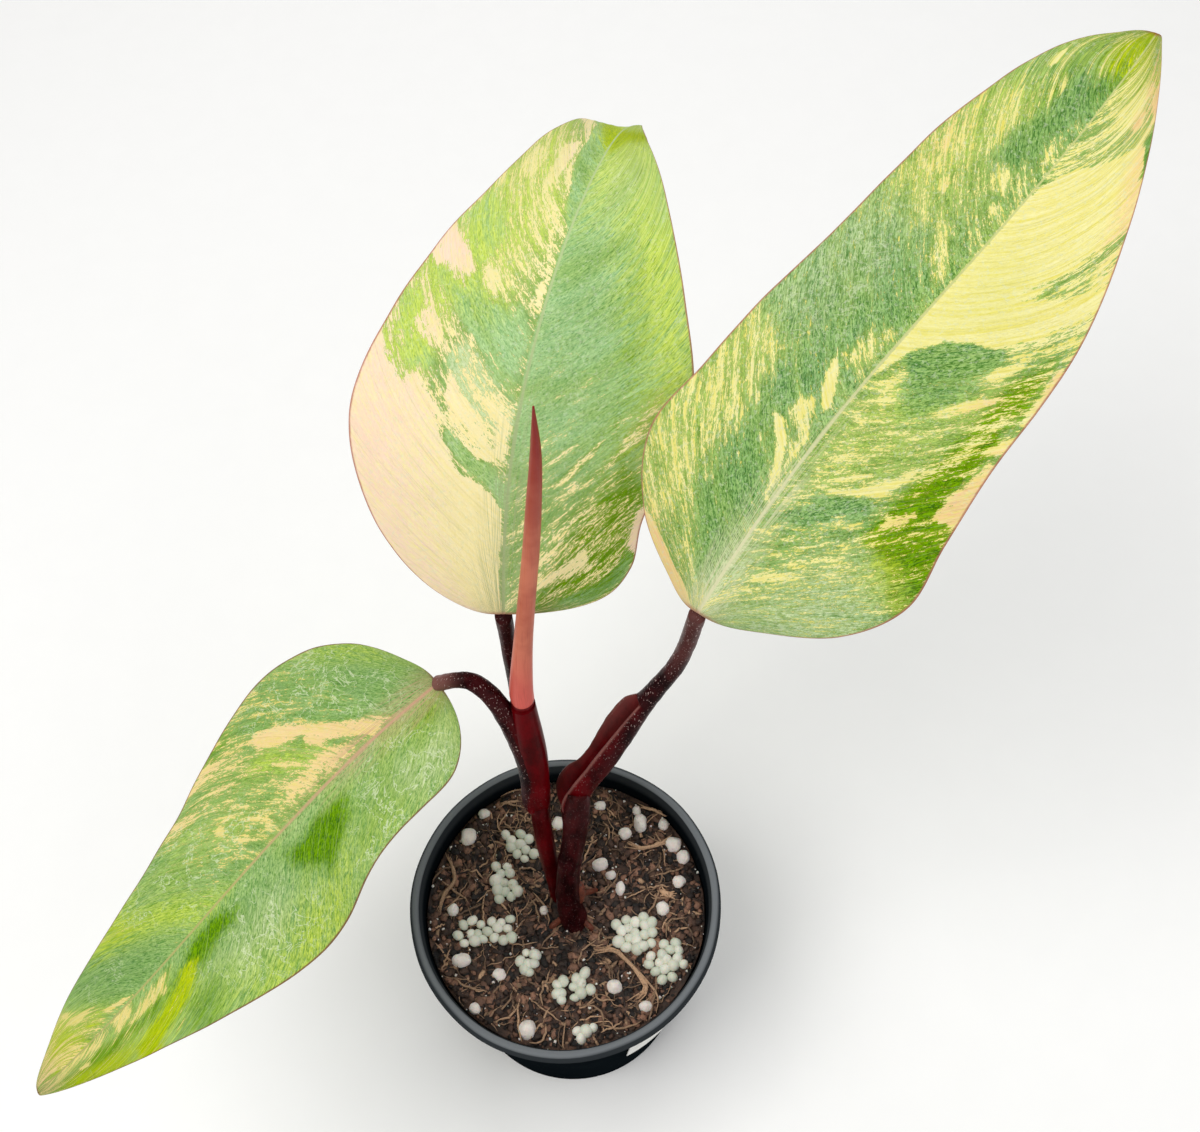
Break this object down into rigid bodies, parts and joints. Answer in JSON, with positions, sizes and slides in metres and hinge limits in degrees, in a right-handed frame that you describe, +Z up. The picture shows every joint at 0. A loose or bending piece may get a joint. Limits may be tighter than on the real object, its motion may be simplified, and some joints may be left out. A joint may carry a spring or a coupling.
{
  "type": "potted philodendron plant",
  "caption": "Young variegated aroid house plant in a round black nursery pot: broad cream and green leaves on dark red stalks, one rolled new leaf, and soil with white grains.",
  "frame": {"origin": "middle of the pot's flat base, on the surface the pot stands on", "axes": "+Z up; the plant's front, which the picture was taken from and which bears the pot's sticker, faces -Y; +X to the viewer's right"},
  "size_m": [0.3191, 0.2415, 0.3064],
  "materials": {
    "pot_plastic": "satin",
    "label_paper": "satin",
    "soil": "matte",
    "leaf_right_blade": "satin",
    "leaf_back_blade": "satin",
    "leaf_left_blade": "satin",
    "new_leaf": "satin",
    "petiole": "satin",
    "dark_stem": "satin",
    "red_stem": "satin",
    "root": "matte",
    "perlite": "matte",
    "fertiliser": "satin",
    "bark": "matte"
  },
  "bodies": {
    "root": {"aerial_root_1": "root", "aerial_root_2": "root", "aerial_root_3": "root", "bark_chip_right": "bark", "bark_curl_back": "bark", "bark_twig_forked": "bark", "bark_twig_left": "bark", "bark_twig_rim": "bark", "blank_label": "label_paper", "husk_strand_front": "bark", "leaf_back": "leaf_back_blade", "leaf_left": "leaf_left_blade", "leaf_right": "leaf_right_blade", "new_leaf_rolled": "new_leaf", "old_stem": "dark_stem", "perlite_01": "perlite", "perlite_02": "perlite", "perlite_03": "perlite", "perlite_04": "perlite", "perlite_05": "perlite", "perlite_06": "perlite", "perlite_07": "perlite", "perlite_08": "perlite", "perlite_09": "perlite", "perlite_10": "perlite", "perlite_11": "perlite", "perlite_12": "perlite", "perlite_13": "perlite", "perlite_14": "perlite", "perlite_15": "perlite", "perlite_16": "perlite", "perlite_17": "perlite", "perlite_18": "perlite", "perlite_19": "perlite", "perlite_20": "perlite", "perlite_21": "perlite", "perlite_22": "perlite", "perlite_23": "perlite", "petiole_back": "petiole", "petiole_left": "petiole", "petiole_right": "petiole", "pot": "pot_plastic", "prill_clump_1": "fertiliser", "prill_clump_2": "fertiliser", "prill_clump_3": "fertiliser", "prill_clump_4": "fertiliser", "prill_clump_5": "fertiliser", "prill_clump_6": "fertiliser", "prill_clump_7": "fertiliser", "prill_clump_8": "fertiliser", "soil": "soil", "young_stem": "red_stem"}
  },
  "joints": []
}
